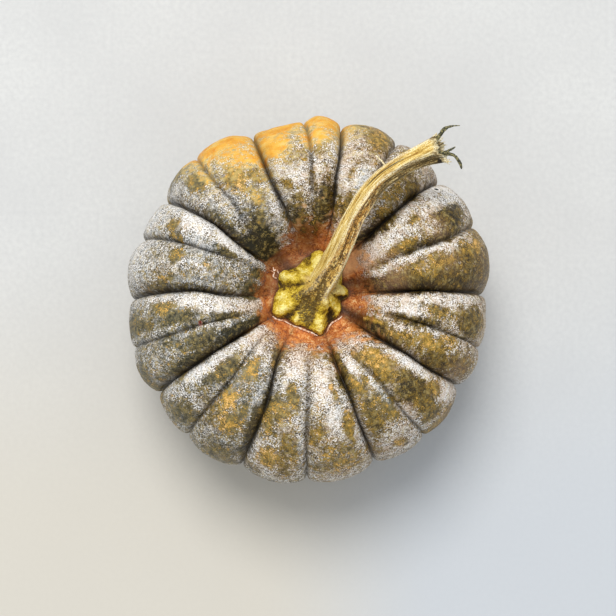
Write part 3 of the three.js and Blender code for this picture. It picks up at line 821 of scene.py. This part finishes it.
def slant(out_from_middle):
    """How far the cut, which faces a little upward, stands forward of a square one, in millimetres."""
    return 1.5 - 2.2 * (1 - out_from_middle * facing_down)


tube = tube + forward[:, None] * (jagged * near_cut)[..., None]
tube = tube + forward[:, None] * (slant(1) * ease(0.9, 1, tube_shares)[:, None])[..., None]

out = np.linspace(0, 1, SKIRT_ROWS + 1)[1:, None]
edge = around_curve(FOOT_OUTLINE, stalk_degrees)
foot = np.array([1000 * PIT_CENTRE[0], 1000 * PIT_CENTRE[1], PIT_FLOOR + SEAT_GAP])
top = tube[-1]
skirt_x = top[:, 0] + (foot[0] + edge * np.cos(stalk_angle) - top[:, 0]) * out
skirt_y = top[:, 1] + (foot[1] + edge * np.sin(stalk_angle) - top[:, 1]) * out
steepness = 2.2 - 0.9 * hump(degrees_apart(stalk_degrees, 135), 50)
skirt_z = PIT_FLOOR + RIM_HEIGHT + (top[:, 2] - PIT_FLOOR - RIM_HEIGHT) * (1 - out) ** steepness
knob = np.zeros_like(skirt_z)
for at, distance, height, width in KNOBS:
    way = math.radians(at)
    along = (skirt_x - foot[0]) * math.cos(way) + (skirt_y - foot[1]) * math.sin(way) - distance
    beside = (skirt_y - foot[1]) * math.cos(way) - (skirt_x - foot[0]) * math.sin(way)
    knob += height * hump(along, 1.6 * width) * hump(beside, 0.9 * width)
cleft = np.zeros_like(skirt_z)
for at, depth, width, turn in CREASES:
    wander = 3 * wobble(points_of(skirt_x, skirt_y, at), 4.0, 21)
    from_crease = degrees_apart(stalk_degrees + wander, at + turn * out)
    cleft = np.maximum(cleft, depth * hump(from_crease, width))
cleft *= ease(0.05, 0.35, out) * (1 - 0.6 * ease(0.93, 1, out))
cleft *= 0.75 + 0.6 * wobble(points_of(skirt_x, skirt_y, 0), 2.6, 28)
skirt_z = skirt_z + knob * ease(0, 0.3, out) - cleft
rounded = np.sqrt(np.maximum(1 - ease(0.9, 1, out) ** 2, 0))
skirt_z = PIT_FLOOR + SEAT_GAP + 0.9 + (skirt_z - PIT_FLOOR - SEAT_GAP - 0.9) * (0.25 + 0.75 * rounded)
skirt = points_of(skirt_x, skirt_y, skirt_z)

# The sole is flat, 0.3 mm above the pit's floor, and set in a little under the edge.
sole = [foot + (edge - inset)[:, None] * ring_at + (0, 0, lift) for inset, lift in ((0.15, 0.5), (0.7, 0))]

# The cut end, from its middle out to the ragged rim: shrunken pith with three hollows.
end_shares = np.linspace(0.06, 0.94, END_ROWS)[:, None]
end_ring, end_forward = stalk_surface(np.ones(END_ROWS), end_shares)
pith = 6 * end_shares[..., None] * ring_at
hollow = np.zeros_like(pith[..., 0])
for at, distance, width in ((75, 2.6, 2.2), (215, 2.8, 1.6), (322, 3.4, 1.9)):
    way = math.radians(at)
    beside = pith - (distance * math.cos(way), distance * math.sin(way), 0)
    hollow = np.maximum(hollow, hump(np.linalg.norm(beside, axis=-1), width))
sunk = -0.6 - 2.2 * hollow + 0.5 * wobble(pith, 1.3, 22)
sunk = sunk + (jagged + 0.6) * ease(0.55, 1, end_shares) + slant(end_shares)
end_face = end_ring + end_forward[:, None] * sunk[..., None]

rows = np.concatenate([end_face, tube, skirt, sole])
end_middle = end_face[0].mean(axis=0)


def by_zone(end, tube_part, skirt_part, sole_part):
    """A value for each point of the stalk, from values for its cut end, tube, skirt and sole."""
    zones = zip((end, tube_part, skirt_part, sole_part), (END_ROWS, TUBE_ROWS, SKIRT_ROWS, len(sole)))
    return np.concatenate([np.broadcast_to(values, (count, STALK_COLUMNS)) for values, count in zones])


# Wood fibres run along the stalk, and the foot is warty. The mesh is moved along its own normals.
tube_length = STALK_LENGTH * tube_shares[:, None]
length = by_zone(STALK_LENGTH, tube_length, STALK_LENGTH * SKIRT_END * (1 - out) - 4 * out, [[-5], [-6]])
girth = by_zone(5.5, 5.5, 5.5 + 12 * out, 17.5)
grain = points_of(girth * np.cos(stalk_angle), girth * np.sin(stalk_angle), length)
round_the_stalk = np.roll(rows, -1, axis=1) - np.roll(rows, 1, axis=1)
normal = unit(np.cross(np.gradient(rows, axis=0), round_the_stalk))
on_stalk = by_zone(0, 1, 1 - ease(0, 0.5, out), 0)
on_foot = by_zone(0, 0, ease(0, 0.35, out), 0)
out_share = by_zone(0, 0, ease(0.4, 1, out), 1)
fibres = 0.24 * wobble(grain * (1, 1, 0.045), 0.85, 23) + 0.12 * wobble(grain * (1, 1, 0.08), 0.4, 24)
warts = 0.5 * wobble(rows, 3.0, 25) + 0.35 * wobble(rows, 1.4, 26)
bends = 0.35 * wobble(grain * (0.5, 0.5, 1), 9.0, 27)
rows = rows + normal * ((fibres + bends) * on_stalk + warts * on_foot)[..., None]
rows[..., 2] = np.maximum(rows[..., 2], PIT_FLOOR + SEAT_GAP)

stem = closed_mesh("stem", rows / 1000, end_middle / 1000, foot / 1000)

# What shows where: the yellow knobs, paler on top with painted shade in the clefts between them, the
# stippled hollow that faces up between two ridges, the paler ridges, painted shade on the underside, away
# from the light, the cut end's hollows and a fold of the foot beside the stalk, dark with painted shade,
# and a dark knot near the cut. The stippled band widens on the foot: y, x and half of its width in
# millimetres.
FOOT_BAND = np.array([(-11, -1.4, 5), (-6.5, -0.7, 7), (-2, 0.2, 6.5), (3, 3.1, 6), (8, 5.5, 5)])
toward_end = np.clip(length / STALK_LENGTH, 0, 1)
phase = degrees_apart(stalk_degrees, FIRST_RIDGE + STALK_TWIST * toward_end)
ridge = np.exp(3 * (np.cos(5 * np.radians(phase)) - 1)) * (1 - on_foot) * (on_stalk > 0)
ridge = ridge * (0.3 + 0.7 * np.maximum(ease(30, 60, phase), ease(25, 60, length)))
widening = 24 * (1 - ease(0.12, 0.4, toward_end))
hollow_way = ease(2, 16, phase + widening) * (1 - ease(58, 70, phase))
down_skirt = by_zone(0, 1, 1 - ease(0.2, 0.72, out), 0)
band_x, band_width = (np.interp(skirt_y, FOOT_BAND[:, 0], FOOT_BAND[:, k]) for k in (1, 2))
on_band = hump(skirt_x - band_x, band_width, 4) * ease(-15, -11, skirt_y) * (1 - ease(6, 11, skirt_y))
stippled = np.maximum(hollow_way * down_skirt, by_zone(0, 0, on_band, 0))
split = hump(phase + 46, 4) * ease(62, 66, length) * (1 - ease(78, 84, length))
# Painted shade on the stalk's underside, the side away from the light, which turns along the stalk.
shaded_side_degrees = 22 - 65 * ease(50, 80, length)
shaded_underside = ease(0.05, 0.75, np.cos(np.radians(stalk_degrees - shaded_side_degrees)))
shaded_underside = shaded_underside * np.clip(3 * on_stalk - 2, 0, 1) * ease(10, 24, length)
# Painted light and shade on the foot: its colour follows its height, paler on the knobs and darker in the
# clefts. It is yellower towards 120 degrees, and the arm at -2 degrees is painted bright: painted light
# where the stalk's shadow falls on it.
yellow_and_lit_arm = 0.3 * hump(degrees_apart(stalk_degrees, 120), 60)
yellow_and_lit_arm = yellow_and_lit_arm + 1.1 * hump(degrees_apart(stalk_degrees, -2), 20)
height = by_zone(0, 0, 0.2 + 0.24 * knob - 0.6 * cleft, -1)
height = height + (0.25 * warts + yellow_and_lit_arm * (1 - out_share)) * on_foot
# A dark knot near the cut, and painted shade in a fold of the foot beside the stalk.
knot = 0.8 * hump(degrees_apart(stalk_degrees, 318), 20) * ease(0.95, 0.985, tube_shares)[:, None]
fold = 0.5 * hump(degrees_apart(stalk_degrees, 333 + 13 * out), 9) * (1 - ease(0.3, 0.8, out))
at_cut = by_zone(1, ease(0.97, 1, tube_shares)[:, None], 0, 0)
for name, values in (
    ("ridge", ridge), ("stippled", stippled), ("split", split), ("underside", shaded_underside),
    ("knob", height), ("hollow", by_zone(hollow, knot, fold, 0)), ("cut", at_cut), ("foot", on_foot),
    ("toward_end", toward_end),
):
    note(stem, name, values, values[0].mean(), values[-1].mean())
note(stem, "grain", grain, (0, 0, STALK_LENGTH), (0, 0, -6))

dry_stem, tree, shader = new_material("dry_stem")
grain_at = kept("grain", "Vector")
strands = lumps_of(stretched(grain_at, (1, 1, 0.07)), 0.7, 4.0, 0.6)
strands = soft_step(strands, 0.3, 0.7)
stipple = part("ShaderNodeGroup", {}, node_tree=specks)
tree.links.new(stretched(grain_at, (1.3, 1.3, 1.0)), stipple.inputs["Vector"])
thinner_up = soft_step(kept("toward_end"), 0.1, 0.3, 0.58, 0.48)
tree.links.new(calc("MULTIPLY", kept("stippled"), thinner_up), stipple.inputs["Cover"])
stipple.inputs["Softness"].default_value = 0.12
mask, grain, mottle = (stipple.outputs[name] for name in ("Mask", "Grain", "Mottle"))

straw = colour_steps(calc("MULTIPLY_ADD", grain, -0.35, calc("ADD", strands, 0.15)), [
    (0.0, (148, 108, 38)), (0.35, (204, 166, 80)), (0.7, (234, 206, 126)), (1.0, (250, 238, 192)),
])
gold = colour_steps(calc("MULTIPLY_ADD", grain, -0.4, calc("ADD", strands, 0.2)), [
    (0.0, (132, 86, 30)), (0.4, (204, 148, 64)), (0.8, (240, 204, 122)), (1.0, (250, 232, 176)),
])
body = blend(soft_step(kept("stippled"), 0.0, 0.55), straw, gold)
lower_down = soft_step(kept("toward_end"), 0.4, 0.1, 0.0, 0.55)
body = blend(lower_down, body, (222, 190, 96))
stipple_colour = blend(soft_step(kept("toward_end"), 0.02, 0.2), (64, 58, 16), (92, 58, 20))
stipple_colour = blend(grain, stipple_colour, (44, 32, 8))
body = blend(calc("MULTIPLY", mask, 0.85), body, stipple_colour)
flecked = calc("MULTIPLY", kept("ridge"), soft_step(grain, 0.75, 0.35, 0.1, 0.85))
body = blend(flecked, body, (247, 238, 206))
# Painted shade on the stalk's underside.
underside_shade = calc("MULTIPLY", kept("underside"), soft_step(strands, 1.0, 0.2, 0.35, 0.95))
body = blend(underside_shade, body, blend(grain, (116, 98, 54), (58, 46, 20)))
body = blend(kept("split"), body, (48, 32, 16))

# Painted light and shade on the foot: paler knobs, darker clefts.
knobs_up = calc("MULTIPLY_ADD", mottle, 0.45, calc("MULTIPLY_ADD", grain, -0.3, kept("knob")))
foot_colour = colour_steps(knobs_up, [
    (0.0, (58, 40, 4)), (0.2, (124, 96, 12)), (0.42, (184, 152, 34)), (0.66, (222, 192, 60)),
    (1.0, (248, 234, 150)),
])
on_the_foot = calc("MULTIPLY", kept("foot"), calc("SUBTRACT", 1.0, mask))
body = blend(on_the_foot, body, foot_colour)
torn = colour_steps(mottle, [(0.2, (120, 100, 62)), (0.5, (196, 178, 132)), (0.8, (240, 230, 196))])
body = blend(kept("cut"), body, torn)
# Painted shade in the cut end's hollows and the foot's fold, and the dark knot.
body = blend(soft_step(kept("hollow"), 0.25, 0.7), body, (42, 30, 16))
tree.links.new(body, shader.inputs["Base Color"])
shader.inputs["Roughness"].default_value = 0.6
shader.inputs["Specular IOR Level"].default_value = 0.3
relief = calc("MULTIPLY_ADD", grain, -0.6, strands)
bump = part("ShaderNodeBump", {"Height": relief, "Strength": 0.6, "Distance": 0.0005})
tree.links.new(bump.outputs["Normal"], shader.inputs["Normal"])

stem.data.materials.append(dry_stem)
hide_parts("stalk")
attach(stem, "root")


# The torn fibres
# Two tough outer strands of the stalk and a short one, torn rather than cut, dried dark, and curled at the
# cut end. They are part of the stalk's own wood.
TORN_FIBRES = [
    # x, y, the height above the pit's floor and the radius in millimetres
    [(56.6, 67.2, 45.4, 0.9), (58.5, 69.3, 47, 0.85), (60.6, 72.1, 49, 0.95), (62.7, 73.2, 49.5, 0.6),
     (65, 73.7, 49.8, 0.35), (67.8, 73.9, 49.5, 0.16)],
    [(57.5, 62, 44.5, 1.1), (61.3, 61.9, 44.5, 0.9), (65.7, 61.2, 43.5, 0.7), (68.3, 58.1, 42.5, 0.75),
     (69.0, 56.1, 42, 0.5), (69.1, 55.3, 41.8, 0.2)],
    [(57.5, 62.5, 45.5, 0.8), (60.8, 62.2, 46, 0.7), (64.3, 63.6, 47, 0.5), (65.9, 64.6, 47.5, 0.25)],
]


def make_strand(name, points, flatness=0.6, roughness=0.35, columns=12, count=48):
    """A thin, uneven strand through points given as x, y, height above the pit's floor and radius."""
    line, reach = smooth_line(points, 600, 3)
    at = along_line(line, reach, np.linspace(0, 1, count))
    forward = unit(np.gradient(at[:, :3], axis=0))
    level = unit(forward[:, [1, 0, 2]] * (1, -1, 0))
    upward = np.cross(level, forward)
    round_it = np.arange(columns) * 2 * math.pi / columns
    skin_at = points_of(np.cos(round_it), np.sin(round_it), reach_of(at[:, :3])[:, None])
    size = at[:, 3:] * (1 + roughness * wobble(skin_at + points[0][0], 0.9, 30))
    rings = at[:, None, :3] + level[:, None] * (size * np.cos(round_it))[..., None]
    rings = rings + upward[:, None] * (flatness * size * np.sin(round_it))[..., None] + (0, 0, PIT_FLOOR)
    return closed_mesh(name, rings / 1000, rings[0].mean(axis=0) / 1000, rings[-1].mean(axis=0) / 1000)


dark_fibre, tree, shader = new_material("dark_fibre")
place = part("ShaderNodeTexCoord").outputs["Object"]
flecks = lumps_of(place, 0.0009, 3.0, 0.6)
fibre_colour = blend(soft_step(flecks, 0.42, 0.66), (44, 46, 24), (150, 140, 92))
tree.links.new(fibre_colour, shader.inputs["Base Color"])
shader.inputs["Roughness"].default_value = 0.7
bump = part("ShaderNodeBump", {"Height": flecks, "Strength": 0.5, "Distance": 0.0003})
tree.links.new(bump.outputs["Normal"], shader.inputs["Normal"])

for number, points in enumerate(TORN_FIBRES):
    strand = make_strand(f"torn_fibre_{number + 1}", points)
    strand.data.materials.append(dark_fibre)
    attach(strand, "root")


# The frayed rim
# Short, pale ends of the same outer fibres, which stand out all round the cut, and one splinter that has
# lifted off the stalk's far side.
pale_fibre, tree, shader = new_material("pale_fibre")
place = part("ShaderNodeTexCoord").outputs["Object"]
flecks = lumps_of(place, 0.0007, 2.0, 0.6)
fray_colour = colour_steps(flecks, [
    (0.35, (132, 108, 62)), (0.5, (214, 196, 148)), (0.65, (244, 236, 206)),
])
tree.links.new(fray_colour, shader.inputs["Base Color"])
shader.inputs["Roughness"].default_value = 0.75

FRAYED_ENDS = 48
FRAY_SHARE = 0.985
chance = np.random.default_rng(7)
rim_ring, rim_forward = stalk_surface(np.array([FRAY_SHARE]))
for number in range(FRAYED_ENDS):
    column = int(chance.integers(STALK_COLUMNS))
    start = rim_ring[0, column] + rim_forward[0] * (slant(1)[column] + 0.4) - (0, 0, PIT_FLOOR)
    outward = unit(rim_ring[0, column] - rim_ring[0].mean(axis=0))
    long = chance.uniform(1.2, 3.4)
    aside = np.array([chance.uniform(-0.6, 0.6), chance.uniform(-0.6, 0.6), chance.uniform(-0.4, 0.4)])
    thick = chance.uniform(0.16, 0.42)
    middle = start + 0.5 * long * (rim_forward[0] + 0.3 * outward)
    tip = start + long * (rim_forward[0] + chance.uniform(0.0, 0.7) * outward + 0.5 * aside)
    points = [(*(start - 0.3 * outward), thick), (*middle, 0.8 * thick), (*tip, 0.25 * thick)]
    fray = make_strand(f"fray_{number + 1:02d}", points, columns=6, count=10)
    fray.data.materials.append(pale_fibre)
    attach(fray, "root")
SPLINTER = [(35.4, 55.2, 42, 0.55), (33.2, 58.2, 43.2, 0.45), (31, 60.4, 43.4, 0.32), (29.2, 62, 43, 0.12)]
splinter = make_strand("splinter", SPLINTER, count=24)
splinter.data.materials.append(pale_fibre)
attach(splinter, "root")


# The cracked lip
# Where the dry foot has shrunk away from the rind, the rind's skin stands up in a thin, pale edge along
# the near side, with a dark gap behind it, and is curled off in two shavings at the far left.
lip_skin, tree, shader = new_material("lip_skin")
place = part("ShaderNodeTexCoord").outputs["Object"]
flecks = lumps_of(place, 0.0011, 3.0, 0.6)
lip_colour = colour_steps(flecks, [(0.36, (150, 84, 44)), (0.48, (222, 176, 140)), (0.6, (246, 228, 212))])
tree.links.new(lip_colour, shader.inputs["Base Color"])
shader.inputs["Roughness"].default_value = 0.6

# The lip stands a little outside the foot's edge, in three pieces given by degrees. Each shaving is a line
# of x, y, the height above the pit's floor and the radius in millimetres.
LIP_POINTS = 24
LIP_GAP = 1.2
LIP_HEIGHT = 0.25
SHAVINGS = [
    [(-14.2, 10.6, 0.4, 0.3), (-15.2, 12.6, 2.0, 0.4), (-16.4, 12.2, 3.0, 0.36), (-16.9, 13.8, 2.6, 0.14)],
    [(-15.2, 8.6, 0.3, 0.3), (-16.8, 9.4, 1.6, 0.36), (-16.4, 11.2, 2.2, 0.3), (-18, 12.2, 2.0, 0.12)],
]

for name, first, last in (("lip_1", 206, 238), ("lip_2", 234, 286), ("lip_3", 290, 322)):
    along = np.linspace(first, last, LIP_POINTS)
    away = around_curve(FOOT_OUTLINE, along) + LIP_GAP + 0.35 * np.sin(along / 5)
    taper = 0.14 + 0.34 * np.sin(np.pi * np.linspace(0, 1, LIP_POINTS)) ** 0.6
    way = np.radians(along)
    points = points_of(foot[0] + away * np.cos(way), foot[1] + away * np.sin(way), LIP_HEIGHT, taper)
    lip = make_strand(name, points, flatness=1.9, count=80, columns=10)
    lip.data.materials.append(lip_skin)
    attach(lip, "root")
for number, points in enumerate(SHAVINGS):
    shaving = make_strand(f"shaving_{number + 1}", points, flatness=0.5, count=24, columns=8)
    shaving.data.materials.append(lip_skin)
    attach(shaving, "root")
